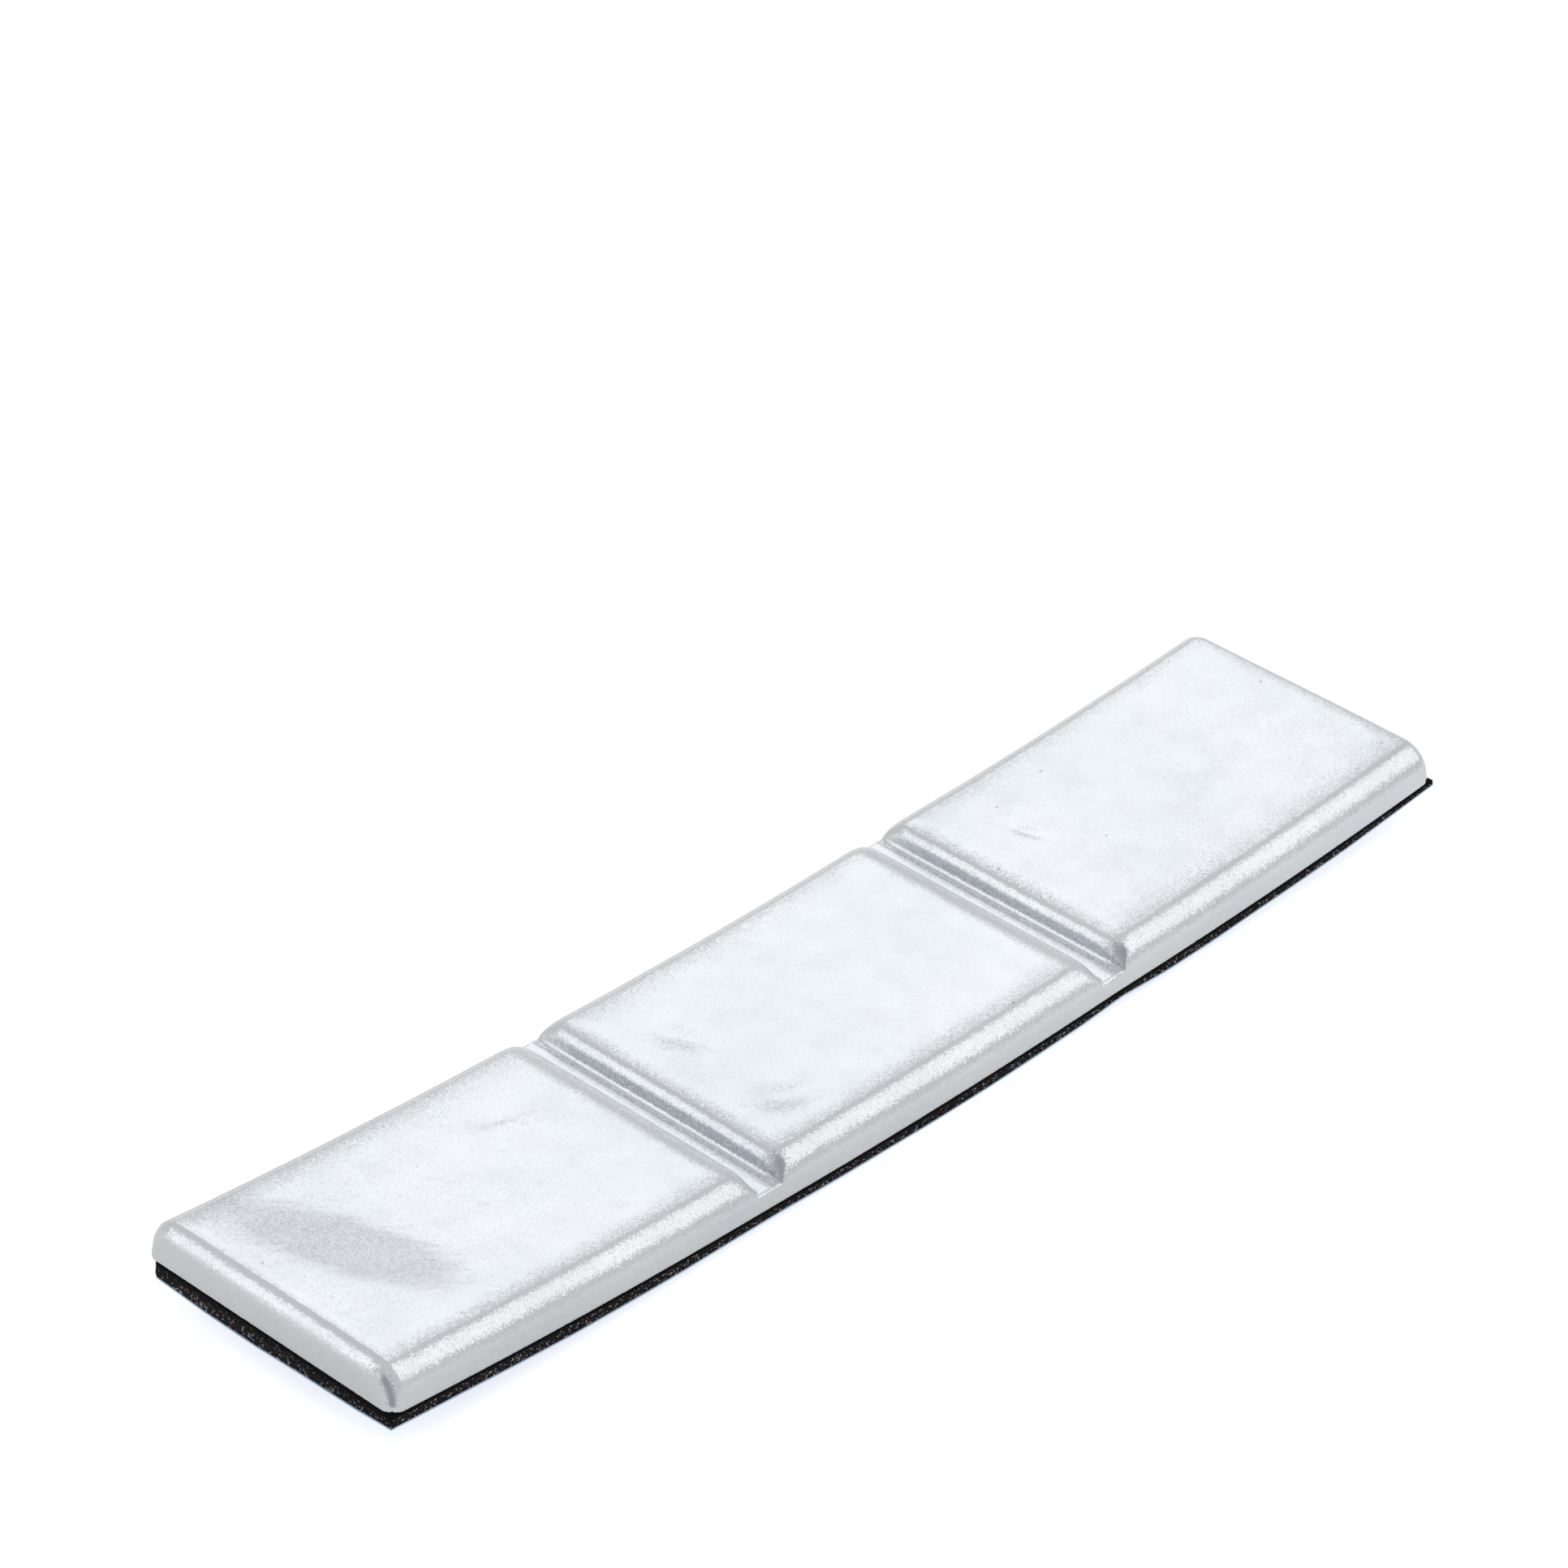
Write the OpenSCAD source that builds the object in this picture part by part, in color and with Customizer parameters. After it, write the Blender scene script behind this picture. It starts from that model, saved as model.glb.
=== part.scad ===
// Stick-on balance weight for a car wheel: a cast strip of three blocks on foam tape.
// The strip runs along X, its width along Y, and its painted face looks up.
// Z = 0 is the lowest line of the release liner, under the middle block, and X = Y = 0
// is the middle of that block. The strip is bent upward like the barrel of a rim.

/* [Blocks] */
// Width of the casting at its widest, low on the side walls
strip_w = 19; // [12:0.5:30]
// Length along the strip that belongs to one block
block_pitch = 28; // [16:0.5:40]
// Height of a block above the tape
block_h = 2.55; // [2.3:0.05:5]
// Bend radius of a block's underside
bend_r = 375; // [150:5:900]
// Lean of the long side walls in degrees
side_draft = 6; // [0:0.5:10]
// Radius along the top of the long sides
side_r = 1.45; // [0.4:0.05:2]
// Radius along the top of the two free ends
end_r = 0.85; // [0.3:0.05:1.2]
// Upright corner radius at the free ends
corner_r = 0.9; // [0.3:0.05:3]
// Radius along the bottom edge of the casting
edge_r = 0.35; // [0.1:0.05:0.4]

/* [Break grooves] */
// Width of a groove at the foot of its walls
groove_w = 1.75; // [1.2:0.05:4]
// Thickness of the web left under a groove
web_t = 1.2; // [0.8:0.05:1.4]
// Radius where a block's top rolls into a groove
shoulder_r = 0.8; // [0.2:0.05:0.9]
// Radius at the foot of a groove's walls
foot_r = 0.35; // [0.1:0.05:0.5]
// Lean of a groove's walls in degrees
groove_draft = 3; // [1:0.5:15]
// Upright corner radius where a groove meets the side walls
groove_corner_r = 0.65; // [0.3:0.05:2]
// Width of the small break along the outer edge of a groove's floor
edge_break = 0.1; // [0.05:0.01:0.12]
// Back bend of the left web in degrees
left_web_bend = 0.5; // [0.1:0.1:4]
// Back bend of the right web in degrees
right_web_bend = 1.4; // [0.1:0.1:4]

/* [Tape] */
// Thickness of the foam tape, which is flush with the near long side
tape_t = 0.65; // [0.4:0.05:2]
// How far the tape stays in from the far long side
tape_setback = 0.4; // [0:0.1:2]
// Thickness of the release liner
liner_t = 0.1; // [0.05:0.01:0.3]

/* [Hidden] */

// Facets along a rounded top or corner, a groove's round foot, the rounded bottom edge and
// the plain middle stretch of a block
round_steps = 6;
foot_steps = 3;
edge_steps = 3;
core_steps = 6;

// A groove's depth, and the rounds at its top and foot, which leave a piece of plain wall
groove_depth = block_h - web_t;
shoulder = min(shoulder_r, 0.6 * groove_depth);
foot = min(foot_r, 0.3 * groove_depth);
// How far a groove's wall leans back over its plain height
wall_lean = (groove_depth - shoulder - foot) * tan(groove_draft);
// Half length of the middle block and whole length of an outer one, at the groove floors
middle_half = (block_pitch - groove_w) / 2;
outer_l = block_pitch - groove_w / 2;
half_l = middle_half + groove_w + outer_l;
// Stretch of a block that its rounds take up beside a groove and at a free end
groove_zone = max(shoulder, groove_corner_r);
end_zone = max(end_r, corner_r);
// Height of the casting's underside above the surface that the strip lies on
underside_z = tape_t + liner_t;

function reversed(list) = [for (i = [len(list) - 1:-1:0]) list[i]];

// The place reached from p, an [x, z, slope in degrees], along an arc of length l that
// turns by a degrees, up where a is positive
function along(p, l, a) =
    let (r = l / a * 180 / PI)
    l == 0 ? p : [
        p[0] + r * (sin(p[2] + a) - sin(p[2])),
        p[1] - r * (cos(p[2] + a) - cos(p[2])),
        p[2] + a
    ];
// The same along a block's underside
function along_block(p, l) = along(p, l, l / bend_r * 180 / PI);

// The place on the underside at s millimetres from the strip's middle, for s of 0 or more
function half_place(s, web_bend) =
    let (
        in_middle = min(s, middle_half),
        in_web = max(0, min(s - middle_half, groove_w)),
        in_outer = max(0, s - middle_half - groove_w),
        block_end = along_block([0, underside_z, 0], in_middle),
        web_end = along(block_end, in_web, -web_bend * in_web / groove_w)
    )
    along_block(web_end, in_outer);
// The same for both halves of the strip
function place(s) =
    let (p = half_place(abs(s), s < 0 ? left_web_bend : right_web_bend))
    s < 0 ? [-p[0], p[1], -p[2]] : p;

// Drop of a rounded edge of radius r at a distance d in from where it ends
function drop(r, d) = d >= r ? 0 : r - sqrt(r * r - (r - d) * (r - d));
// Height of the round along a long side, between a top and the lowest place it may reach
function side_round(top, lowest) = max(0, min(side_r, top - lowest));

// A ring is a cross section of the casting. It holds the ring's distance s along the
// strip, the height of its top, how far its walls are set in above and below the knee, how
// far its underside is raised, and the height of the knee, where a groove's floor would be.
function block_ring(s, top, inset, lift) =
    let (
        wall_low = lift + edge_r,
        wall_high = top - side_round(top, wall_low + 3 * edge_break)
    )
    [s, top, inset, inset, lift, (wall_low + wall_high) / 2];
function groove_ring(s, top, inset) = [s, top, inset, 0, 0, web_t];

// Rings of a block's plain stretch, without those at its two ends
function core_rings(from, to) = [
    for (i = [1:core_steps - 1]) block_ring(from + (to - from) * i / core_steps, block_h, 0, 0)
];
// Rings of a block's rounds beside a groove, then of the wall and its foot. The foot of the
// wall lies at s, and the groove's floor runs on from there toward dir.
function wall_rings(s, dir) = concat(
    [
        for (i = [0:round_steps])
            let (d = groove_zone * (1 - sin(90 * i / round_steps)))
            groove_ring(s - dir * (wall_lean + d), block_h - drop(shoulder, d),
                drop(groove_corner_r, d))
    ],
    [
        for (i = [0:foot_steps])
            let (a = 90 * i / foot_steps)
            groove_ring(s + dir * foot * (1 - cos(a)), web_t + foot * (1 - sin(a)),
                groove_corner_r)
    ]
);
// Rings of the rounds at the free end
function end_rings() = [
    for (i = [0:round_steps])
        let (d = end_zone * (1 - sin(90 * i / round_steps)))
        block_ring(half_l - d, block_h - drop(end_r, d), drop(corner_r, d), drop(edge_r, d))
];

// All rings: the right half from the middle outward, and its mirror image on the left
right_rings = concat(
    core_rings(0, middle_half - wall_lean - groove_zone),
    wall_rings(middle_half, 1),
    [groove_ring(middle_half + groove_w / 2, web_t, groove_corner_r)],
    reversed(wall_rings(middle_half + groove_w, -1)),
    core_rings(middle_half + groove_w + wall_lean + groove_zone, half_l - end_zone),
    end_rings()
);
rings = concat(
    [for (r = reversed(right_rings)) [-r[0], r[1], r[2], r[3], r[4], r[5]]],
    [block_ring(0, block_h, 0, 0)],
    right_rings
);

// How far the long side walls have leaned in at a height above the underside
function lean(z) = max(0, z - edge_r) * tan(side_draft);

// Half a ring's outline as [width, height], from the underside to the top. Between groove
// and block the knee opens into a ledge with a small break, the groove floor's outer edge.
function half_outline(ring) =
    let (
        top = ring[1],
        knee = ring[5],
        lower = strip_w / 2 - ring[3],
        lift = ring[4],
        upper = strip_w / 2 - ring[2] - lean(knee),
        ledge_break = min(edge_break, ring[2] - ring[3]),
        rise = edge_break - ledge_break,
        round_h = side_round(top, knee + edge_break)
    )
    concat(
        [
            for (i = [0:edge_steps])
                let (a = 90 * i / edge_steps)
                [lower - edge_r * (1 - sin(a)), lift + edge_r * (1 - cos(a))]
        ],
        [
            [lower - lean(knee), knee - edge_break],
            [lower - lean(knee) - ledge_break, knee],
            [upper + ledge_break / 2, knee + rise / 2]
        ],
        [
            for (i = [0:round_steps])
                let (a = 90 * i / round_steps)
                [upper - side_r * (1 - cos(a)), max(top - round_h * (1 - sin(a)), knee)]
        ]
    );

// All points of a ring, at its place on the strip
function ring_points(ring) =
    let (
        half = half_outline(ring),
        p = place(ring[0]),
        outline = concat(half, [for (q = reversed(half)) [-q[0], q[1]]])
    )
    [for (q = outline) [p[0] - q[1] * sin(p[2]), q[0], p[1] + q[1] * cos(p[2])]];

// The casting, lofted through its rings
module weight_body() {
    points = [for (ring = rings) each ring_points(ring)];
    n = len(ring_points(rings[0]));
    last = (len(rings) - 1) * n;
    sides = [
        for (i = [0:len(rings) - 2], j = [0:n - 1])
            let (a = i * n + j, b = i * n + (j + 1) % n)
            each [[a, b + n, b], [a, a + n, b + n]]
    ];
    caps = [[for (j = [0:n - 1]) j], [for (j = [n - 1:-1:0]) last + j]];
    color([0.86, 0.87, 0.89]) polyhedron(points, concat(sides, caps), convexity = 6);
}

// A layer under the casting, as wide as the tape, between two depths below the underside.
// It bends at the same places as the casting, so the two meet face to face.
module layer(depth, thickness) {
    function line(below) = [
        for (ring = rings)
            let (p = place(ring[0]))
            [p[0] + below * sin(p[2]), p[1] - below * cos(p[2])]
    ];
    tape_w = strip_w - tape_setback;
    translate([0, tape_w - strip_w / 2, 0]) rotate([90, 0, 0]) linear_extrude(height = tape_w)
        polygon(concat(line(depth), reversed(line(depth + thickness))));
}

module foam_tape() {
    color([0.09, 0.09, 0.09]) layer(0, tape_t);
}

module release_liner() {
    color([0.75, 0.86, 0.94]) layer(tape_t, liner_t);
}

weight_body();
foam_tape();
release_liner();
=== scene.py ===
# A stick-on wheel balance weight: a silver-coated casting of three blocks on black foam tape
# with a thin pale blue release liner. Lengths are in millimetres until a mesh is made.
import math
from dataclasses import dataclass

import bpy
import numpy as np
from mathutils import Matrix, Vector


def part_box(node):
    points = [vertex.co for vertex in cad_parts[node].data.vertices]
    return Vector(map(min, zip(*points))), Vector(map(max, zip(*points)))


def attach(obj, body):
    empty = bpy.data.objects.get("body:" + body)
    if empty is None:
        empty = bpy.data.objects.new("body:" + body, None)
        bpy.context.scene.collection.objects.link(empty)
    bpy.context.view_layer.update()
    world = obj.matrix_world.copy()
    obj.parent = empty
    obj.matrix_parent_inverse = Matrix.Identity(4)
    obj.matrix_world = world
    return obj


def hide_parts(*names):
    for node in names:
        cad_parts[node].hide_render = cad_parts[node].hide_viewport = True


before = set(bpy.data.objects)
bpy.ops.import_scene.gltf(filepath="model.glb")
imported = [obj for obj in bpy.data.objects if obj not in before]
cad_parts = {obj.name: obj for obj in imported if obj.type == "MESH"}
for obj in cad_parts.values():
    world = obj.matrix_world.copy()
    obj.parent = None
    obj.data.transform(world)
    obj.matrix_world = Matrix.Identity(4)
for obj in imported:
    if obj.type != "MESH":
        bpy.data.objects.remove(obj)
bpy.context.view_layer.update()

MM = 0.001
SEED = 7
QUARTER_TURN = math.pi / 2

# Driving sizes of the strip, as in the CAD source
body_low, body_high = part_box("weight_body")
tape_low, tape_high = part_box("foam_tape")
STRIP_W = (body_high[1] - body_low[1]) / MM
TAPE_W = (tape_high[1] - tape_low[1]) / MM
BLOCK_PITCH = 28.0
BLOCK_H = 2.55
BEND_R = 375.0
SIDE_DRAFT = math.radians(6.0)
NEAR_SIDE_R = 1.7
FAR_SIDE_R = 1.45
LEFT_END_R = 1.05
RIGHT_END_R = 0.85
CORNER_R = 0.9
EDGE_R = 0.22
GROOVE_W = 1.75
WEB_T = 1.2
SHOULDER_R = 0.8
FOOT_R = 0.35
GROOVE_DRAFT = math.radians(3.0)
GROOVE_CORNER_LOW_R = 0.15
GROOVE_LEFT_CORNER_LOW_R = 0.25
GROOVE_CORNER_HIGH_R = 0.95
EDGE_BREAK = 0.1
LEDGE_R = 0.2
LEFT_WEB_BEND = math.radians(0.5)
RIGHT_WEB_BEND = math.radians(1.4)
TAPE_T = 0.65
LINER_T = 0.1
UNDERSIDE_Z = TAPE_T + LINER_T

MIDDLE_HALF = (BLOCK_PITCH - GROOVE_W) / 2
OUTER_L = BLOCK_PITCH - GROOVE_W / 2
HALF_L = MIDDLE_HALF + GROOVE_W + OUTER_L
WALL_LEAN = (BLOCK_H - WEB_T - SHOULDER_R - FOOT_R) * math.tan(GROOVE_DRAFT)

# How each edge of a block's top begins: its tilt where the round ends, and the width over
# which the top then rises to its flat middle
FAR_SIDE_FALL = (math.radians(6.0), 1.5)
LEFT_END_FALL = (math.radians(11.0), 0.8)
RIGHT_END_FALL = (math.radians(6.0), 0.7)
GROOVE_LEFT_FALL = (math.radians(18.0), 1.5)
GROOVE_RIGHT_FALL = (math.radians(12.5), 1.35)

# The near side's fall: the blocks' middles, their tilts in degrees, and one width
BLOCK_MIDDLES = (-BLOCK_PITCH, 0, BLOCK_PITCH)
NEAR_SIDE_TILTS = (9.5, 7.5, 4.0)
NEAR_SIDE_FALL_W = 1.5

# The grooves sit a little left of the middle between blocks
LEFT_GROOVE_SHIFT = -0.2
RIGHT_GROOVE_SHIFT = -0.33

# How much shade is painted into the coating's colour: on a groove's right wall, on the right of
# its floor, and on the upright corners, where it is darkest beside the near side. Above 1 it is
# darker still.
WALL_PAINTED_SHADE = 0.7
FLOOR_PAINTED_SHADE = 1.2
CORNER_PAINTED_SHADE = 1.4
CORNER_DARKEST = 2.0
END_CORNER_PAINTED_SHADE = 2.3
CORNER_RISE = 0.3
CORNER_DARKENING = 0.6
END_CORNER_POWER = 6

# The lowest height of the painted shade on a groove's wall and floor
PAINTED_SHADE_LOWEST = WEB_T - 0.09

# Where shares of a look begin and how far they take to grow: a shoulder's painted shade by its
# tilt, the floor's by its width, the upright corners' by their distance past the near side and
# by height, the matt corners' by height and distance from the wall, and the tops by height
SHOULDER_FADE = (1.18, 0.2)
FLOOR_FADE = (0.7, 0.15)
GROOVE_CORNER_FADE = (-1.8, 1.0)
GROOVE_CORNER_LOW_FADE = (WEB_T - 0.05, 0.1)
END_CORNER_FADE = (-1.6, 0.7)
END_CORNER_LOW_FADE = (0.35, 0.25)
MATT_LOW_FADE = (WEB_T + 0.05, 0.25)
MATT_REACH = 0.6
MATT_FADE = 0.35
TOP_FADE = (WEB_T + 0.3, BLOCK_H - WEB_T - 0.6)

# An upright corner beside a groove has its full radius this far under the top, and above
CORNER_FULL_DEPTH = 0.4

# Slow waves of the blocks' tops: height, then turns along and across with their starts
WAVES = [
    (0.012, 0.31, 0.5, 0.42, 0.3 + QUARTER_TURN),
    (0.008, 0.83, 1.7, 0.61, 0.0),
]

# Soft dents of the tops: place along and across, half sizes, turn and depth
DENTS = [
    (-21.4, 4.0, 2.2, 0.5, -0.15, 0.06),
    (-21.7, -6.3, 1.0, 0.4, -0.75, 0.03),
    (-8.9, 2.8, 2.2, 1.3, -1.25, 0.10),
    (-8.6, -5.1, 2.6, 1.6, -0.45, 0.14),
    (19.5, 2.5, 1.6, 0.5, -1.3, 0.07),
    (31.0, -2.5, 4.0, 2.0, 0.1, 0.03),
]

# The rubbed patch on the left block: place along and across, half sizes, turn and strength
RUBBED_PATCH = (-35.9, 1.0, 8.2, 2.9, -1.2)
RUBBED_STRENGTH = 1.5

# Steps of the casting's surface along the strip and round a cross section
LINE_STEPS = 4000
CORE_STEPS = 97
CORE_CROWDING = 0.75
SHOULDER_STEPS = 14
WALL_STEPS = 7
FOOT_STEPS = 8
FLOOR_STEPS = 16
END_STEPS = 18
UNDERSIDE_STEPS = 7
EDGE_STEPS = 6
SIDE_STEPS = 5
LEDGE_STEPS = 5
BREAK_STEPS = 3
ROUND_STEPS = 22
TOP_STEPS = 21
TOP_CROWDING = 1.35

# The foam's thickness: along the strip, pressed thin under the webs and at the right end, and
# across the left end, where it is full along the middle
THICKNESS_ALONG = [
    (-42, 0.60), (-37, 0.59), (-33, 0.65), (-29, 0.69), (-25, 0.65), (-21, 0.61), (-17, 0.50),
    (-13, 0.46), (-9, 0.51), (-5, 0.53), (-1, 0.59), (3, 0.60), (7, 0.55), (11, 0.49),
    (14.4, 0.32), (18, 0.52), (22, 0.55), (26, 0.48), (34, 0.45), (38, 0.34), (42, 0.26),
]
THICKNESS_ACROSS = [
    (-9.5, 0.60), (-6.8, 0.77), (-2.9, 0.85), (1.0, 0.98), (4.8, 0.95), (9.0, 0.77),
]

# How far in from the left end the thickness across it counts, and the tape's cut corner there
LEFT_END_L = 8.0
TAPE_CORNER_R = 1.2
TAPE_CORNER_CUT = 0.5

# Points across a layer and down its side faces, the spacing of its cross sections, how ragged
# the foam's side faces are, and how deep the dark rim goes: glue, with painted shadow under the
# casting's edge
LAYER_POINTS = 15
FOAM_SIDE_STEPS = 9
LINER_SIDE_STEPS = 2
FOAM_SPACING = 0.2
LINER_SPACING = 0.5
FOAM_RAGGED = 0.04
GLUE_AND_SHADOW_DEPTHS = (0.12, 0.2)
GLUE_AND_SHADOW_FADE = 0.06


# The strip's bend

def bent_line():
    """Distance along the underside with its place and slope, from end to end."""
    web = MIDDLE_HALF + GROOVE_W
    inner = MIDDLE_HALF / BEND_R
    outer = OUTER_L / BEND_R
    left, right = inner - LEFT_WEB_BEND, inner - RIGHT_WEB_BEND
    knots = [-HALF_L, -web, -MIDDLE_HALF, MIDDLE_HALF, web, HALF_L]
    slopes = [-left - outer, -left, -inner, inner, right, right + outer]
    s = np.linspace(-HALF_L, HALF_L, LINE_STEPS + 1)
    slope = np.interp(s, knots, slopes)
    step = s[1] - s[0]
    x = np.concatenate([[0], np.cumsum((np.cos(slope[1:]) + np.cos(slope[:-1])) / 2 * step)])
    z = np.concatenate([[0], np.cumsum((np.sin(slope[1:]) + np.sin(slope[:-1])) / 2 * step)])
    x -= np.interp(0, s, x)
    z += UNDERSIDE_Z - np.interp(0, s, z)
    return s, x, z, slope


LINE_S, LINE_X, LINE_Z, LINE_SLOPE = bent_line()


def bent(s, y, z):
    """Points of the straight strip, with z above the underside, moved onto the bent one."""
    slope = np.interp(s, LINE_S, LINE_SLOPE)
    past_end = s - np.clip(s, -HALF_L, HALF_L)
    x = np.interp(s, LINE_S, LINE_X) + past_end * np.cos(slope)
    up = np.interp(s, LINE_S, LINE_Z) + past_end * np.sin(slope)
    return np.stack([x - z * np.sin(slope), y, up + z * np.cos(slope)], axis=-1)


def smooth(t):
    """Rises smoothly from 0 to 1 as t does."""
    t = np.clip(t, 0, 1)
    return t * t * (3 - 2 * t)


def fade(value, start, width):
    """Rises smoothly from 0 at the start to 1 over this width."""
    return smooth((value - start) / width)


def hill(s, y, s0, y0, half_s, half_y, turn):
    """A soft hill of height 1 with these half sizes, turned about its middle."""
    c, n = math.cos(turn), math.sin(turn)
    a = ((s - s0) * c + (y - y0) * n) / half_s
    b = (-(s - s0) * n + (y - y0) * c) / half_y
    return np.exp(-2 * (a * a + b * b))


def steps_after(start, stop, steps):
    """Evenly spaced numbers after the start, as far as the stop."""
    return np.linspace(start, stop, steps + 1)[1:]


def steps_between(start, stop, steps):
    """Evenly spaced numbers between the start and the stop, without either."""
    return np.linspace(start, stop, steps + 1)[1:-1]


# The casting's surface

def drop(r, d):
    """Drop of a rounded edge of radius r at a distance d in from where it ends."""
    d = np.minimum(np.maximum(d, 0), r)
    return r - np.sqrt(np.maximum(r * r - (r - d) ** 2, 0))


def fall_height(fall):
    """How far a top's edge lies below its middle."""
    tilt, width = fall
    return math.tan(tilt) * width / 2


def falling(fall, d):
    """How far a top lies below its middle at a distance d in from its edge."""
    return fall_height(fall) * (1 - np.clip(d / fall[1], 0, 1)) ** 2


def near_side_fall(s):
    """The fall of the top toward its near side, steeper on the left block."""
    return math.radians(float(np.interp(s, BLOCK_MIDDLES, NEAR_SIDE_TILTS))), NEAR_SIDE_FALL_W


def corner_radius(z, low=GROOVE_CORNER_LOW_R):
    """Radius of an upright corner beside a groove, which grows from the web to the top."""
    share = fade(z, WEB_T, BLOCK_H - CORNER_FULL_DEPTH - WEB_T)
    return low + (GROOVE_CORNER_HIGH_R - low) * share


@dataclass
class Ring:
    """One cross section of the casting: where it is, how high its top is, how far the fall of
    a block's end lowers it, and how its sides stand. In the round of a free end its outline is
    also lifted. Beside a groove it knows how far it is from the wall, and on which side."""

    s: float
    level: float
    end_fall: float = 0.0
    side_share: float = 1.0
    inset: float = 0.0
    lift: float = 0.0
    # How much shade is painted into the coating's colour at this cross section
    painted_shade: float = 0.0
    at_end: bool = False
    end_turn: float = 0.0
    from_groove: float | None = None
    faces_left: bool = False

    def top(self, d, side_fall):
        """Height of the top at a distance d in from where the side's round ends."""
        side = falling(side_fall, d) * self.side_share
        return self.level - np.hypot(self.end_fall, side)

    def corner_inset(self, z):
        """How far a side stands in at a height z beside a groove."""
        if self.from_groove is None:
            return 0 * z
        low = GROOVE_CORNER_LOW_R if self.faces_left else GROOVE_LEFT_CORNER_LOW_R
        return drop(corner_radius(z, low), self.from_groove)


def core(start, end, falls, gaps):
    """A block's top between the rounds of its two ends, which have these falls and lie these
    gaps in from a groove's walls."""
    made = []
    for t in steps_between(0, math.pi, CORE_STEPS):
        share = CORE_CROWDING * (1 - math.cos(t)) / 2 + (1 - CORE_CROWDING) * t / math.pi
        s = start + (end - start) * share
        fall = max(falling(falls[0], s - start), falling(falls[1], end - s))
        from_groove = min(s - start + gaps[0], end - s + gaps[1])
        faces_left = s - start < end - s
        made.append(Ring(s, BLOCK_H, fall, from_groove=from_groove, faces_left=faces_left))
    return made


def wall(s, way, fall, painted_shade):
    """From a block's round down into a groove whose wall stands at s. The way is 1 for the
    block on the left and -1 for the one on the right."""
    made = []
    for tilt in np.linspace(fall[0], QUARTER_TURN, SHOULDER_STEPS + 1):
        d = SHOULDER_R * (1 - math.sin(tilt))
        level = BLOCK_H - SHOULDER_R * (math.cos(fall[0]) - math.cos(tilt))
        ring = Ring(s - way * (WALL_LEAN + d), level, fall_height(fall), math.cos(tilt))
        ring.from_groove = d
        # Painted shade grows down the shoulder with its tilt
        ring.painted_shade = painted_shade * fade(tilt, *SHOULDER_FADE)
        made.append(ring)
    high = level - fall_height(fall)
    for t in steps_between(0, 1, WALL_STEPS):
        height = high + t * (WEB_T + FOOT_R - high)
        place = s - way * WALL_LEAN * (1 - t)
        made.append(Ring(place, height, side_share=0.0, painted_shade=painted_shade, from_groove=0.0))
    for t in np.linspace(0, QUARTER_TURN, FOOT_STEPS + 1):
        height = WEB_T + FOOT_R * (1 - math.sin(t))
        place = s + way * FOOT_R * (1 - math.cos(t))
        # The painted shade fades out halfway round the foot, which shines
        foot_painted_shade = painted_shade * abs(math.cos(2 * t))
        made.append(Ring(place, height, side_share=0.0, painted_shade=foot_painted_shade, from_groove=0.0))
    for ring in made:
        ring.faces_left = way < 0
    return made


def groove(left, right):
    """From the round left of a groove to the one right of it, whose walls stand here."""
    floor = []
    for t in steps_between(0, 1, FLOOR_STEPS):
        ring = Ring(left + FOOT_R + (right - left - 2 * FOOT_R) * t, WEB_T, side_share=0.0)
        # Painted shade on the right part of the groove's floor
        ring.painted_shade = FLOOR_PAINTED_SHADE * fade(t, *FLOOR_FADE)
        ring.from_groove = 0.0
        ring.faces_left = t > 0.5
        floor.append(ring)
    left_wall = wall(left, 1, GROOVE_LEFT_FALL, 0.0)
    right_wall = wall(right, -1, GROOVE_RIGHT_FALL, WALL_PAINTED_SHADE)
    return left_wall + floor + right_wall[::-1]


def free_end(way, radius, fall):
    """The round of a free end, from left to right. The way is -1 for the left end."""
    tilts = np.linspace(fall[0], QUARTER_TURN, END_STEPS + 1)
    insets = [CORNER_R * (1 - math.sin(tilt)) for tilt in tilts]
    high = BLOCK_H + radius * (1 - math.cos(fall[0]))
    made = []
    for d in insets:
        level = min(BLOCK_H, high - drop(radius, d))
        ring = Ring(way * (HALF_L - d), level, fall_height(fall), min(1.0, d / insets[0]))
        ring.inset = drop(CORNER_R, d)
        ring.lift = drop(EDGE_R, d)
        ring.at_end = True
        if way < 0:
            ring.end_turn = math.acos(1 - ring.inset / CORNER_R)
        made.append(ring)
    return made[::way]


def ring_list():
    """Cross sections of the casting from its left end to its right one."""

    def shoulder(fall):
        return WALL_LEAN + SHOULDER_R * (1 - math.sin(fall[0]))

    left_a = -MIDDLE_HALF - GROOVE_W + LEFT_GROOVE_SHIFT
    left_b = -MIDDLE_HALF + LEFT_GROOVE_SHIFT
    right_a = MIDDLE_HALF + RIGHT_GROOVE_SHIFT
    right_b = MIDDLE_HALF + GROOVE_W + RIGHT_GROOVE_SHIFT
    start = CORNER_R * (1 - math.sin(LEFT_END_FALL[0])) - HALF_L
    finish = HALF_L - CORNER_R * (1 - math.sin(RIGHT_END_FALL[0]))
    before, after = shoulder(GROOVE_LEFT_FALL), shoulder(GROOVE_RIGHT_FALL)
    no_groove = GROOVE_CORNER_HIGH_R
    inner_falls = (GROOVE_RIGHT_FALL, GROOVE_LEFT_FALL)
    rows = free_end(-1, LEFT_END_R, LEFT_END_FALL)
    rows += core(start, left_a - before, (LEFT_END_FALL, GROOVE_LEFT_FALL), (no_groove, before))
    rows += groove(left_a, left_b)
    rows += core(left_b + after, right_a - before, inner_falls, (after, before))
    rows += groove(right_a, right_b)
    rows += core(right_b + after, finish, (GROOVE_RIGHT_FALL, RIGHT_END_FALL), (after, no_groove))
    rows += free_end(1, RIGHT_END_R, RIGHT_END_FALL)
    return rows


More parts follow.
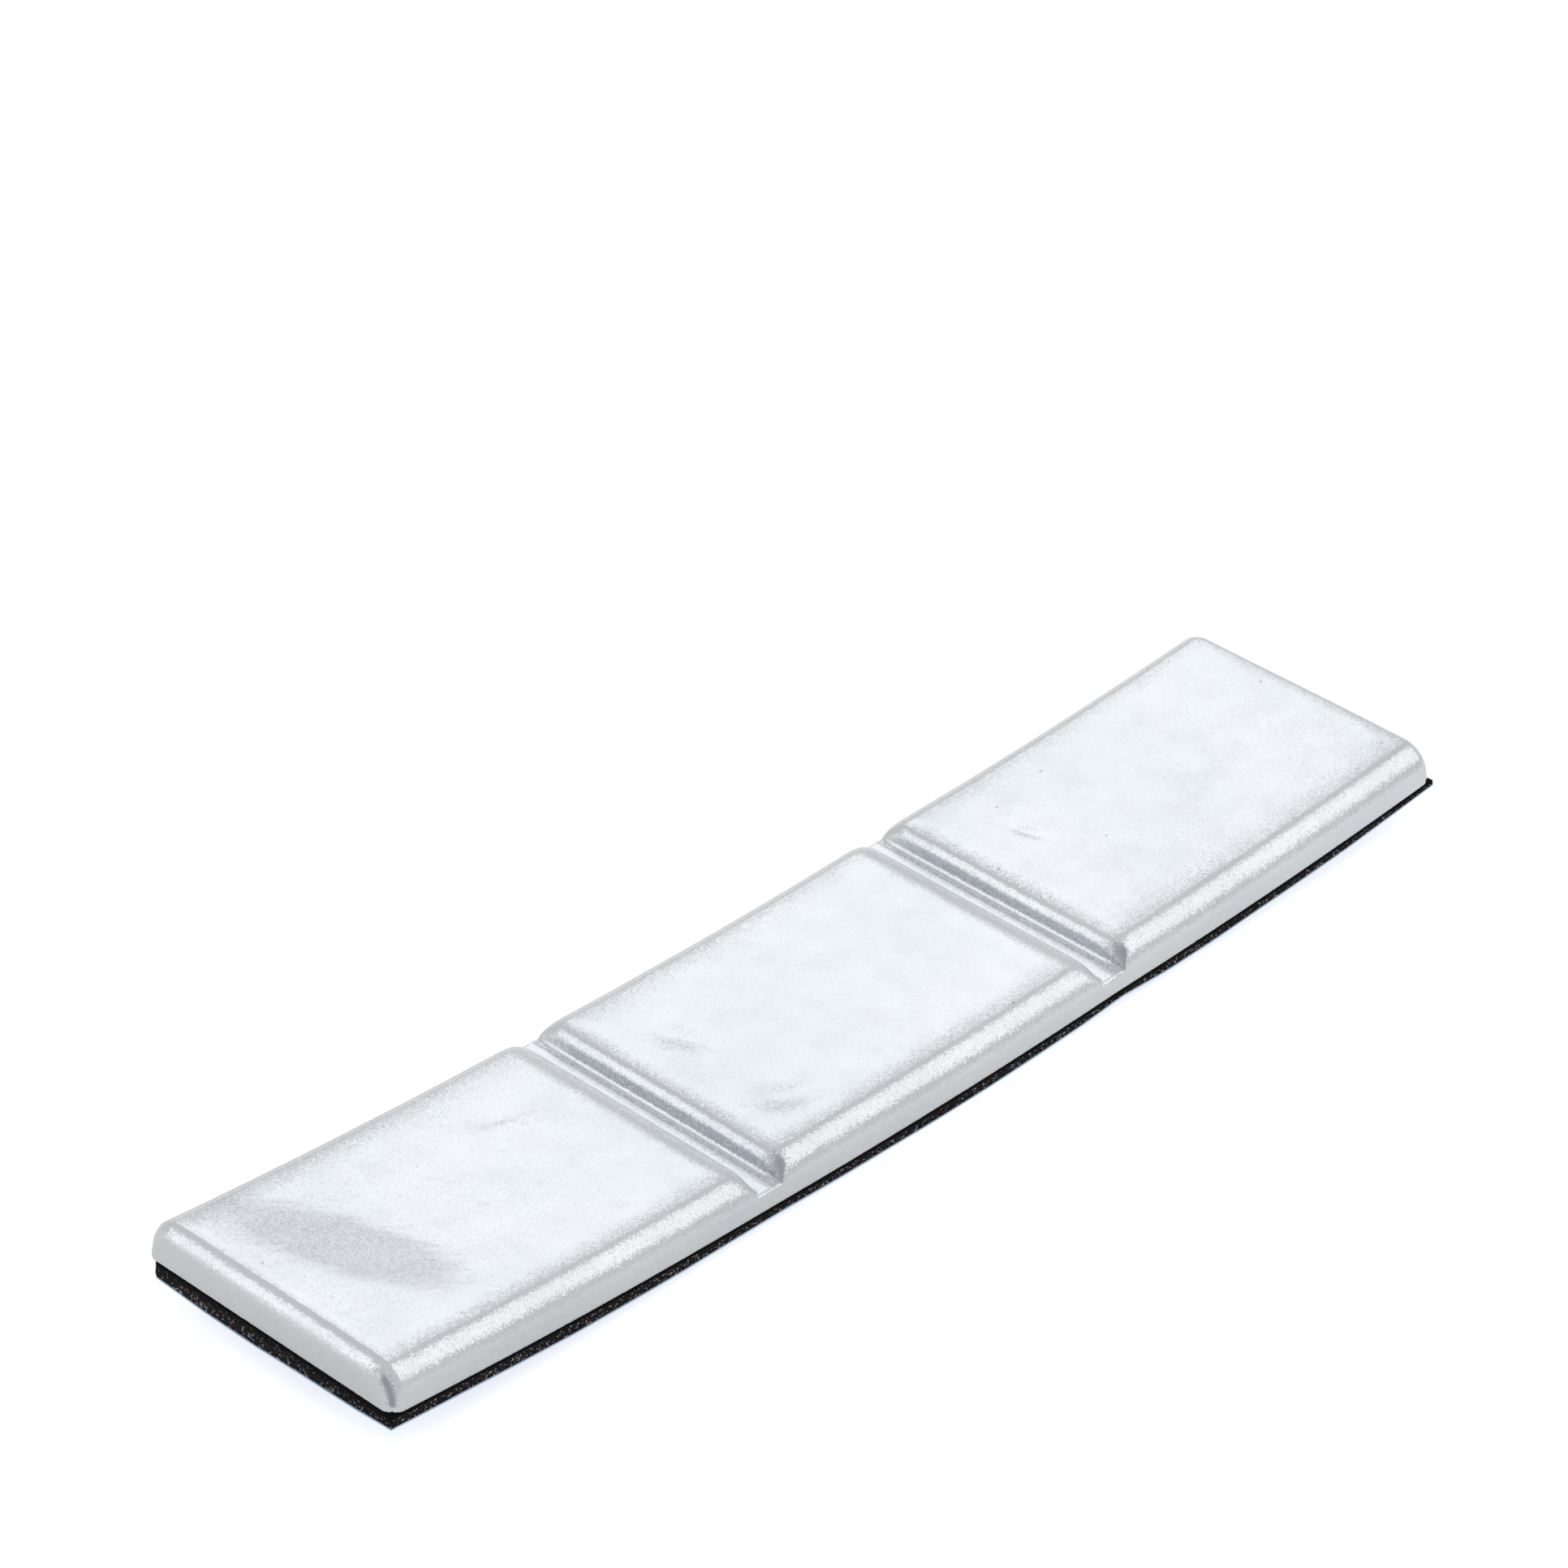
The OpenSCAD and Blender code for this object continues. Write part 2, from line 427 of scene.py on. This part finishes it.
def half_outline(ring, radius, side_fall):
    """Half a ring's outline as rows of width and height, from the underside to the top. The
    side's round has this radius and runs from its draft to the tilt of the top's edge."""
    lift = ring.lift
    low_sine, high_sine = math.sin(SIDE_DRAFT), math.cos(side_fall[0])
    round_h = radius * (high_sine - low_sine)
    top = ring.top(0.0, side_fall)
    if ring.at_end:
        lowest = lift + EDGE_R + EDGE_BREAK + LEDGE_R
        round_low = top - min(round_h, max(0, top - lowest - EDGE_BREAK))
        knee = (lowest + round_low) / 2
    else:
        round_low = BLOCK_H - fall_height(side_fall) - round_h
        knee = WEB_T
    lower = STRIP_W / 2 - ring.inset

    def round_angle(z):
        return np.arcsin(np.clip(low_sine + (z - round_low) / radius, low_sine, 1))

    def round_inset(angle):
        return radius * (math.cos(SIDE_DRAFT) - np.cos(angle))

    def side(z):
        leaning = np.maximum(0, np.minimum(z, round_low) - lift - EDGE_R)
        return lower - leaning * math.tan(SIDE_DRAFT) - round_inset(round_angle(z))

    low_corner = float(ring.corner_inset(knee))
    ledge_break = min(LEDGE_R, low_corner)
    ledge_rise = EDGE_BREAK - min(EDGE_BREAK, low_corner)
    ledge_low = knee - ledge_rise - LEDGE_R
    points = []
    for t in np.linspace(0, 1, UNDERSIDE_STEPS + 1)[:-1]:
        points.append([(lower - EDGE_R) * t, lift])
    for a in np.linspace(0, QUARTER_TURN, EDGE_STEPS + 1):
        points.append([lower - EDGE_R * (1 - math.sin(a)), lift + EDGE_R * (1 - math.cos(a))])
    for z in steps_after(lift + EDGE_R, ledge_low, SIDE_STEPS):
        points.append([side(z), z])
    for a in steps_after(0, QUARTER_TURN, LEDGE_STEPS):
        z = ledge_low + LEDGE_R * math.sin(a)
        points.append([side(z) - ledge_break * (1 - math.cos(a)), z])
    for t in steps_after(0, 1, BREAK_STEPS):
        z = knee - ledge_rise * (1 - t)
        points.append([side(z) - ledge_break - (low_corner - ledge_break) * t, z])
    start_z = max(knee, round_low)
    start = float(round_angle(start_z))
    for a in steps_after(start, QUARTER_TURN - side_fall[0], ROUND_STEPS):
        share = (math.sin(a) - math.sin(start)) / (high_sine - math.sin(start))
        z = max(start_z + (top - start_z) * share, knee)
        inset = round_inset(a) - round_inset(start) + ring.corner_inset(z)
        points.append([side(start_z) - inset, z])
    rim = points[-1][0]
    for t in steps_after(0, QUARTER_TURN, TOP_STEPS):
        y = rim * (1 - t / QUARTER_TURN) ** TOP_CROWDING
        points.append([y, max(ring.top(rim - y, side_fall), knee)])
    return np.array(points)


def painted_shade_share(ring, y, z):
    """How much shade is painted into the coating round a cross section: in the grooves, and on the
    near side's upright corners right of a groove and at the left end. Above 1 it is darker still."""
    from_side = -y - STRIP_W / 2
    if ring.faces_left and ring.from_groove is not None:
        sine = 1 - np.minimum(ring.from_groove / corner_radius(z), 1)
        darkening = smooth((1 - sine) / CORNER_DARKENING)
        corner = smooth(sine / CORNER_RISE)
        corner = corner * (CORNER_PAINTED_SHADE + (CORNER_DARKEST - CORNER_PAINTED_SHADE) * darkening)
        corner = corner * fade(from_side, *GROOVE_CORNER_FADE) * fade(z, *GROOVE_CORNER_LOW_FADE)
    else:
        upright = fade(from_side, *END_CORNER_FADE) * fade(z, *END_CORNER_LOW_FADE)
        corner = END_CORNER_PAINTED_SHADE * math.sin(2 * ring.end_turn) ** END_CORNER_POWER * upright
    return np.maximum(ring.painted_shade * (z > PAINTED_SHADE_LOWEST), corner)


def matt_share(ring, z):
    """How matt the coating is: on the shoulders and corners left of a groove."""
    if ring.faces_left or ring.from_groove is None:
        return 0 * z
    return smooth((MATT_REACH - ring.from_groove) / MATT_FADE) * fade(z, *MATT_LOW_FADE)


def surface_wave(s, y):
    """Height added to the blocks' tops: slow waves of the casting and a few soft dents."""
    wave = 0 * s
    for height, along, start, across, side_start in WAVES:
        wave = wave + height * np.sin(along * s + start) * np.sin(across * y + side_start)
    for *place, depth in DENTS:
        wave = wave - depth * hill(s, y, *place)
    return wave


def loft(points):
    """Vertices and faces of a closed tube through rings of points, an array of rings by
    points."""
    rings, n = points.shape[:2]
    faces = []
    for i in range(rings - 1):
        for j in range(n):
            k = (j + 1) % n
            faces.append((i * n + j, i * n + k, (i + 1) * n + k, (i + 1) * n + j))
    faces.append(tuple(range(n - 1, -1, -1)))
    faces.append(tuple((rings - 1) * n + j for j in range(n)))
    return points.reshape(-1, 3), faces


def make_object(name, rings, material, shares):
    """A smooth piece through rings of points, with shares stored at each point."""
    points, faces = loft(np.array(rings))
    mesh = bpy.data.meshes.new(name)
    mesh.from_pydata([tuple(p) for p in points * MM], [], faces)
    mesh.validate()
    mesh.shade_smooth()
    mesh.materials.append(material)
    piece = bpy.data.objects.new(name, mesh)
    bpy.context.scene.collection.objects.link(piece)
    for share, values in shares.items():
        layer = mesh.attributes.new(share, "FLOAT", "POINT")
        layer.data.foreach_set("value", np.concatenate(values).astype(np.float32))
    return piece


def make_casting(material):
    rings = []
    shares = {"painted_shade": [], "worn": [], "matt": []}
    for ring in ring_list():
        far = half_outline(ring, FAR_SIDE_R, FAR_SIDE_FALL)
        near = half_outline(ring, NEAR_SIDE_R, near_side_fall(ring.s))[::-1][1:-1]
        y = np.concatenate([far[:, 0], -near[:, 0]])
        z = np.concatenate([far[:, 1], near[:, 1]])
        s = np.full_like(y, ring.s)
        on_top = fade(z, *TOP_FADE)
        z = z + on_top * surface_wave(s, y)
        rings.append(bent(s, y, z))
        # Painted shade at each point of the cross section
        shares["painted_shade"].append(painted_shade_share(ring, y, z))
        worn = np.clip(RUBBED_STRENGTH * hill(s, y, *RUBBED_PATCH), 0, 1)
        shares["worn"].append(on_top * worn)
        shares["matt"].append(matt_share(ring, z))
    piece = make_object("casting", rings, material, shares)
    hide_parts("weight_body")
    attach(piece, "root")


# The foam tape and its liner

def no_depth(s, y):
    return 0 * y


def tape_thickness(s, y):
    """Thickness of the foam at points across it, a distance s along the strip."""
    across = np.interp(y, *zip(*THICKNESS_ACROSS))
    along = np.interp(s, *zip(*THICKNESS_ALONG))
    return across + (along - across) * fade(s, -HALF_L, LEFT_END_L)


def liner_depth(s, y):
    return tape_thickness(s, y) + LINER_T


def far_edge(s):
    """Where the tape's far edge runs: set back from the casting, and cut round at the left end."""
    return -STRIP_W / 2 + TAPE_W - TAPE_CORNER_CUT * drop(TAPE_CORNER_R, s + HALF_L)


def make_layer(name, top_of, bottom_of, side_steps, ragged, spacing, material):
    """A layer under the casting between two depths, with side faces that may be ragged. Its
    upper rim is darker than the rest: the glue, with shadow painted in under the casting's edge."""
    rng = np.random.default_rng(SEED)
    steps = steps_between(0, 1, side_steps)
    rings = []
    glue_and_shadow = []
    for s in np.linspace(-HALF_L, HALF_L, int(2 * HALF_L / spacing)):
        across = np.linspace(-STRIP_W / 2, far_edge(s), LAYER_POINTS)
        top = -top_of(s, across)
        bottom = -bottom_of(s, across)
        near_side = top[0] + (bottom[0] - top[0]) * steps
        far_side = bottom[-1] + (top[-1] - bottom[-1]) * steps
        near_y = across[0] + rng.uniform(0, ragged, len(steps))
        far_y = across[-1] - rng.uniform(0, ragged, len(steps))
        y = np.concatenate([across[::-1], near_y, across, far_y])
        z = np.concatenate([top[::-1], near_side, bottom, far_side])
        rings.append(bent(np.full_like(y, s), y, z))
        # Dark top rim: the glue, with painted shadow under the casting's edge
        glue_and_shadow.append(smooth((z + rng.uniform(*GLUE_AND_SHADOW_DEPTHS)) / GLUE_AND_SHADOW_FADE))
    return make_object(name, rings, material, {"glue_and_shadow": glue_and_shadow})


def make_foam(material):
    foam = make_layer(
        "foam", no_depth, tape_thickness, FOAM_SIDE_STEPS, FOAM_RAGGED, FOAM_SPACING, material
    )
    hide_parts("foam_tape")
    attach(foam, "root")


def make_liner(material):
    liner = make_layer(
        "liner", tape_thickness, liner_depth, LINER_SIDE_STEPS, 0.0, LINER_SPACING, material
    )
    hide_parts("release_liner")
    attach(liner, "root")


# Materials

COAT_DIM = (0.78, 0.81, 0.84)
COAT_CLEAR = (0.83, 0.855, 0.88)
FLAKE_GREY = (0.70, 0.72, 0.74)
# Greys of the painted shade in the grooves and on the upright corners
PAINTED_SHADE_DARK = (0.50, 0.515, 0.55)
PAINTED_SHADE_PALE = (0.97, 0.98, 1.0)
CORNER_SHADE_GREY = (0.46, 0.48, 0.51)
RUBBED_GREY = (0.57, 0.59, 0.63)
PIT_GREY = (0.42, 0.43, 0.46)
FOAM_DARK = (0.002, 0.002, 0.003)
FOAM_PALE = (0.018, 0.018, 0.020)
FOAM_SPECK = (0.42, 0.42, 0.44)
FOAM_BROWN = (0.12, 0.06, 0.04)
# The foam's dark top rim: glue, with shadow painted in under the casting's edge
GLUE_AND_SHADOW_BLACK = (0.004, 0.004, 0.004)
LINER_BLUE = (0.40, 0.60, 0.86)
LINER_PALE = (0.50, 0.70, 0.94)
FLOOR_WHITE = (0.86, 0.86, 0.86)

# The coating's slow patches, the small cells of its flakes, its smudges and its orange peel
PATCHES_PER_MM = 0.09
PATCH_RANGE = (0.35, 0.65)
CELLS_PER_MM = 12.0
SMUDGES_PER_MM = 0.5
SMUDGE_RANGE = (0.3, 0.7)
PEEL_PER_MM = 1.6
PEEL_DEPTH = 0.009

# Flakes: the share of them that are grey and how grey, how far they tilt the surface on a
# steep side and on a level top, and the slopes between which that changes
GREY_FLAKES = 0.25
FLAKE_GREYNESS = 0.3
FLAKE_TILTS = (0.2, 0.09)
FLAKE_SLOPES = (0.9, 0.985)

# Sparse pits, only on the level tops, each full within a share of its radius
PITS_PER_MM = 0.45
PIT_R = 0.11
PIT_CORE = 0.4
PIT_SHARE = 0.03
PIT_SLOPES = (0.97, 0.98)

# The rubbed patch: its streaks, where they begin to show, how far its soft border reaches, and
# how rubbed its least rubbed flakes are
STREAKS_PER_MM = 2.2
STREAK_STRETCH = 5.0
STREAK_TURN = math.radians(-46)
STREAK_STRENGTH = 1.1
RUBBED_RANGE = (0.7, 1.2)
RUBBED_BORDER = 0.3
RUBBED_LEAST = 0.55

# Roughness of the clean coating, what it gains under the painted shade, and that of matt coating
COAT_ROUGHNESS = (0.20, 0.26)
PAINTED_SHADE_ROUGHNESS = 0.15
MATT_ROUGHNESS = 0.6

# The foam's roughness and sheen, its blotches and bumps, and the cells from which its pale and
# its brown specks grow
FOAM_ROUGHNESS = 0.95
FOAM_SHEEN = 0.2
BLOTCHES_PER_MM = 5.0
FOAM_BUMPS_PER_MM = 6.0
FOAM_BUMP_DEPTH = 0.12
PALE_CELLS = (0.87, 0.95)
BROWN_CELLS = (0.94, 0.96)

# The liner's roughness, patches and shallow waves
LINER_ROUGHNESS = 0.3
LINER_PATCHES_PER_MM = 0.4
LINER_WAVES_PER_MM = 0.8
LINER_WAVE_DEPTH = 0.02


class Nodes:
    """Short calls for building a material's node tree."""

    def __init__(self, name):
        self.material = bpy.data.materials.new(name)
        self.material.use_nodes = True
        self.tree = self.material.node_tree
        self.shader = self.tree.nodes["Principled BSDF"].inputs

    def node(self, kind, **settings):
        made = self.tree.nodes.new(kind)
        for key, value in settings.items():
            setattr(made, key, value)
        return made

    def link(self, source, target):
        self.tree.links.new(source, target)

    def split(self, kind, source):
        """The outputs of a node that takes a colour or vector apart."""
        made = self.node(kind)
        self.link(source, made.inputs[0])
        return made.outputs

    def place(self, scale, stretch=1.0, turn=0.0):
        """Object coordinates, with scale units to the millimetre, and stretched along a line
        turned from the x axis."""
        coords = self.node("ShaderNodeTexCoord")
        mapping = self.node("ShaderNodeMapping", vector_type="TEXTURE")
        mapping.inputs["Rotation"].default_value = (0, 0, turn)
        mapping.inputs["Scale"].default_value = (MM * stretch / scale, MM / scale, MM / scale)
        self.link(coords.outputs["Object"], mapping.inputs["Vector"])
        return mapping.outputs["Vector"]

    def noise(self, scale, detail=2.0, roughness=0.5, stretch=1.0, turn=0.0):
        made = self.node("ShaderNodeTexNoise")
        made.inputs["Scale"].default_value = 1.0
        made.inputs["Detail"].default_value = detail
        made.inputs["Roughness"].default_value = roughness
        self.link(self.place(scale, stretch, turn), made.inputs["Vector"])
        return made.outputs["Fac"]

    def cells(self, scale, **settings):
        """Small cells, each with a colour of its own."""
        made = self.node("ShaderNodeTexVoronoi", **settings)
        made.inputs["Scale"].default_value = 1.0
        self.link(self.place(scale), made.inputs["Vector"])
        return made.outputs

    def specks(self, scale, radius, share):
        """Sparse round specks of a radius in millimetres, seen from above."""
        cells = self.cells(scale, voronoi_dimensions="2D")
        colour = self.split("ShaderNodeSeparateColor", cells["Color"])
        chosen = self.math("LESS_THAN", colour[0], share)
        size = radius * scale
        inside = self.spread(cells["Distance"], PIT_CORE * size, size, 1.0, 0.0)
        return self.math("MULTIPLY", chosen, inside)

    def share(self, name):
        """A number stored at each point of the mesh."""
        made = self.node("ShaderNodeAttribute", attribute_name=name)
        return made.outputs["Fac"]

    def spread(self, value, low, high, to_low=0.0, to_high=1.0):
        """Maps low..high of a value onto to_low..to_high, clamped."""
        made = self.node("ShaderNodeMapRange")
        for name, number in zip(
            ("From Min", "From Max", "To Min", "To Max"), (low, high, to_low, to_high)
        ):
            made.inputs[name].default_value = number
        self.link(value, made.inputs["Value"])
        return made.outputs["Result"]

    def math(self, operation, a, b):
        made = self.node("ShaderNodeMath", operation=operation)
        for socket, value in zip(made.inputs, (a, b)):
            if isinstance(value, (int, float)):
                socket.default_value = value
            else:
                self.link(value, socket)
        return made.outputs[0]

    def mix(self, factor, a, b):
        """Mixes two colours, each a tuple or a socket."""
        made = self.node("ShaderNodeMix", data_type="RGBA")
        colours = [s for s in made.inputs if s.type == "RGBA"]
        for socket, value in zip(colours, (a, b)):
            if isinstance(value, tuple):
                socket.default_value = (*value, 1)
            else:
                self.link(value, socket)
        self.link(factor, made.inputs["Factor"])
        return next(s for s in made.outputs if s.type == "RGBA")

    def vector_math(self, operation, source, second):
        """A vector with a fixed vector or another socket applied to it."""
        made = self.node("ShaderNodeVectorMath", operation=operation)
        self.link(source, made.inputs[0])
        if isinstance(second, tuple):
            made.inputs[1].default_value = second
        else:
            self.link(second, made.inputs["Scale" if operation == "SCALE" else 1])
        return made.outputs[0]

    def bump(self, height, distance, normal=None):
        made = self.node("ShaderNodeBump")
        made.inputs["Distance"].default_value = distance * MM
        made.inputs["Strength"].default_value = 1.0
        self.link(height, made.inputs["Height"])
        if normal is not None:
            self.link(normal, made.inputs["Normal"])
        return made.outputs["Normal"]


def coat_colour(m, grain, painted_shade, upward):
    """The coating's colour: uneven silver with darker flakes, greyer where shade is painted in, in
    the rubbed patch and in the pits."""
    patches = m.spread(m.noise(PATCHES_PER_MM, detail=3.0), *PATCH_RANGE)
    base = m.mix(patches, COAT_DIM, COAT_CLEAR)
    grey = m.spread(grain, 0.0, GREY_FLAKES, FLAKE_GREYNESS, 0.0)
    grained = m.mix(grey, base, FLAKE_GREY)
    # Painted shade: grainy darker grey under the mask, the darkest corner grey where it is above 1
    under_painted_shade = m.mix(painted_shade, grained, m.mix(grain, PAINTED_SHADE_DARK, PAINTED_SHADE_PALE))
    darkest = m.mix(m.spread(painted_shade, 1.0, CORNER_DARKEST), under_painted_shade, CORNER_SHADE_GREY)
    streaks = m.noise(
        STREAKS_PER_MM, detail=5.0, roughness=0.75, stretch=STREAK_STRETCH, turn=STREAK_TURN
    )
    streaks = m.math("MULTIPLY", streaks, STREAK_STRENGTH)
    worn = m.spread(m.math("ADD", m.share("worn"), streaks), *RUBBED_RANGE)
    worn = m.math("MULTIPLY", worn, m.spread(m.share("worn"), 0.0, RUBBED_BORDER))
    rubbing = m.math("MULTIPLY", worn, m.spread(grain, 0.0, 1.0, RUBBED_LEAST, 1.0))
    rubbed = m.mix(rubbing, darkest, RUBBED_GREY)
    level = m.spread(upward, *PIT_SLOPES)
    pits = m.math("MULTIPLY", m.specks(PITS_PER_MM, PIT_R, PIT_SHARE), level)
    return m.mix(pits, rubbed, PIT_GREY)


def coat_roughness(m, painted_shade):
    """The coating's roughness, higher under the painted shade and beside a groove's left wall."""
    smudges = m.noise(SMUDGES_PER_MM, detail=3.0)
    clean = m.spread(smudges, *SMUDGE_RANGE, *COAT_ROUGHNESS)
    under_painted_shade = m.math("ADD", clean, m.math("MULTIPLY", painted_shade, PAINTED_SHADE_ROUGHNESS))
    return m.math("MAXIMUM", under_painted_shade, m.math("MULTIPLY", m.share("matt"), MATT_ROUGHNESS))


def coat_normal(m, flakes, normal, upward):
    """The surface's direction, tilted a little at each flake and by a fine orange peel."""
    centred = m.vector_math("SUBTRACT", flakes, (0.5, 0.5, 0.5))
    tilt = m.vector_math("SCALE", centred, m.spread(upward, *FLAKE_SLOPES, *FLAKE_TILTS))
    added = m.vector_math("ADD", normal, tilt)
    unit = m.node("ShaderNodeVectorMath", operation="NORMALIZE")
    m.link(added, unit.inputs[0])
    return m.bump(m.noise(PEEL_PER_MM, detail=3.0), PEEL_DEPTH, unit.outputs[0])


def silver_coating():
    """Silver paint with fine metal flakes, slightly uneven."""
    m = Nodes("silver_coating")
    m.shader["Metallic"].default_value = 1.0
    flakes = m.cells(CELLS_PER_MM)["Color"]
    grain = m.split("ShaderNodeSeparateColor", flakes)[0]
    # Where shade is painted into the coating's colour
    painted_shade = m.share("painted_shade")
    normal = m.node("ShaderNodeNewGeometry").outputs["Normal"]
    upward = m.split("ShaderNodeSeparateXYZ", normal)["Z"]
    m.link(coat_colour(m, grain, painted_shade, upward), m.shader["Base Color"])
    m.link(coat_roughness(m, painted_shade), m.shader["Roughness"])
    m.link(coat_normal(m, flakes, normal, upward), m.shader["Normal"])
    return m.material


def black_foam():
    """Open-cell foam with tiny pale and brown specks."""
    m = Nodes("black_foam")
    m.shader["Roughness"].default_value = FOAM_ROUGHNESS
    m.shader["Specular IOR Level"].default_value = FOAM_SHEEN
    base = m.mix(m.noise(BLOTCHES_PER_MM, detail=4.0), FOAM_DARK, FOAM_PALE)
    colour = m.split("ShaderNodeSeparateColor", m.cells(CELLS_PER_MM)["Color"])
    specked = m.mix(m.spread(colour[0], *PALE_CELLS), base, FOAM_SPECK)
    foam = m.mix(m.spread(colour[1], *BROWN_CELLS), specked, FOAM_BROWN)
    # Darker top rim: the glue, with painted shadow under the casting's edge
    m.link(m.mix(m.share("glue_and_shadow"), foam, GLUE_AND_SHADOW_BLACK), m.shader["Base Color"])
    m.link(m.bump(m.noise(FOAM_BUMPS_PER_MM, detail=3.0), FOAM_BUMP_DEPTH), m.shader["Normal"])
    return m.material


def blue_liner():
    """Thin pale blue film with a slight sheen."""
    m = Nodes("blue_liner")
    m.shader["Roughness"].default_value = LINER_ROUGHNESS
    m.link(m.mix(m.noise(LINER_PATCHES_PER_MM), LINER_BLUE, LINER_PALE), m.shader["Base Color"])
    m.link(m.bump(m.noise(LINER_WAVES_PER_MM), LINER_WAVE_DEPTH), m.shader["Normal"])
    return m.material


# Stage, lights and camera

FLOOR_HALF = 3.0
FLOOR_SEEN_GLOW = 0.64
WORLD_STRENGTH = 0.62
WORLD_SEEN_STRENGTH = 1.0
LAMP_DISTANCE = 0.65

# The floor's glow in reflections grows along the strip, from one place to another
FLOOR_GLOW_PLACES = (-50.0, 40.0)
FLOOR_GLOWS = (0.08, 0.2)

# Lamps: the way to one from the object, the way its first side runs, its size, how bright it
# is where 1 is as bright as white, and its colour
LAMPS = {
    "key": ((0.550, 0.575, 0.624), (0.68, -0.74, 0), (0.24, 0.25), 0.57, (0.97, 0.985, 1.0)),
    "near_side": ((0.605, -0.408, 0.684), (0, 0.838, 0.545), (0.60, 0.28), 0.54, (1, 1, 0.98)),
    "near_end": ((-0.548, 0.571, 0.616), (0.683, 0, 0.731), (0.46, 0.25), 0.55, (0.98, 0.985, 1)),
    "end_glow": ((-0.79, 0.571, 0.22), (0.27, 0, 0.96), (0.26, 0.4), 0.24, (1, 1, 1)),
    "horizon": ((0.82, 0.57, 0.10), (0.57, -0.82, 0), (1.2, 0.10), 0.3, (1, 1, 1)),
}

CAMERA_PLACE = (-0.20478, -0.18968, 0.20349)
CAMERA_RIGHT = (0.69353, -0.72027, 0.01518)
CAMERA_BACK = (-0.60497, -0.57082, 0.55513)
CAMERA_SENSOR = 36.0
CAMERA_LENS = 141.6
CAMERA_CLIP = (0.01, 10.0)


def white_floor():
    mesh = bpy.data.meshes.new("floor")
    half = FLOOR_HALF
    corners = [(-half, -half, 0), (half, -half, 0), (half, half, 0), (-half, half, 0)]
    mesh.from_pydata(corners, [], [(0, 1, 2, 3)])
    floor = bpy.data.objects.new("floor", mesh)
    bpy.context.scene.collection.objects.link(floor)
    m = Nodes("white_floor")
    m.shader["Base Color"].default_value = (*FLOOR_WHITE, 1)
    m.shader["Roughness"].default_value = 1.0
    m.shader["Specular IOR Level"].default_value = 0.0
    m.shader["Emission Color"].default_value = (1, 1, 1, 1)
    path = m.node("ShaderNodeLightPath").outputs
    seen = m.math("MULTIPLY", path["Is Camera Ray"], FLOOR_SEEN_GLOW)
    along = m.split("ShaderNodeSeparateXYZ", m.place(1.0))["X"]
    glow = m.spread(along, *FLOOR_GLOW_PLACES, *FLOOR_GLOWS)
    mirrored = m.math("MULTIPLY", path["Is Glossy Ray"], glow)
    m.link(m.math("ADD", seen, mirrored), m.shader["Emission Strength"])
    mesh.materials.append(m.material)


def placed(name, data, right, back, place):
    """An object that faces the other way than back, with its right side along right."""
    turn = Matrix((right, back.cross(right), back)).transposed().to_4x4()
    made = bpy.data.objects.new(name, data)
    made.matrix_world = Matrix.Translation(place) @ turn
    bpy.context.scene.collection.objects.link(made)
    return made


def soft_box(name, toward, long_side, size, radiance, colour):
    """A rectangular lamp seen from the object in the direction toward, with its first side
    along long_side."""
    light = bpy.data.lights.new(name, "AREA")
    light.shape = "RECTANGLE"
    light.size, light.size_y = size
    light.energy = radiance * size[0] * size[1] * math.pi
    light.color = colour
    back = Vector(toward).normalized()
    across = Vector(long_side)
    across = (across - back * across.dot(back)).normalized()
    lamp = placed(name, light, across, back, back * LAMP_DISTANCE)
    lamp.visible_camera = False


def world_light():
    world = bpy.data.worlds.new("world")
    bpy.context.scene.world = world
    world.use_nodes = True
    tree = world.node_tree
    background = tree.nodes["Background"]
    path = tree.nodes.new("ShaderNodeLightPath")
    strength = tree.nodes.new("ShaderNodeMapRange")
    strength.inputs["To Min"].default_value = WORLD_STRENGTH
    strength.inputs["To Max"].default_value = WORLD_SEEN_STRENGTH
    tree.links.new(path.outputs["Is Camera Ray"], strength.inputs["Value"])
    tree.links.new(strength.outputs["Result"], background.inputs["Strength"])
    background.inputs["Color"].default_value = (1, 1, 1, 1)


def make_camera():
    """The photograph's view: long lens, looking down along the strip."""
    right = Vector(CAMERA_RIGHT).normalized()
    back = Vector(CAMERA_BACK)
    back = (back - right * back.dot(right)).normalized()
    camera = bpy.data.cameras.new("camera")
    camera.sensor_width = CAMERA_SENSOR
    camera.lens = CAMERA_LENS
    camera.clip_start, camera.clip_end = CAMERA_CLIP
    bpy.context.scene.camera = placed("camera", camera, right, back, Vector(CAMERA_PLACE))


def main():
    bpy.context.scene.view_settings.view_transform = "Standard"
    make_casting(silver_coating())
    make_foam(black_foam())
    make_liner(blue_liner())
    white_floor()
    world_light()
    for name, settings in LAMPS.items():
        soft_box(name, *settings)
    make_camera()


main()
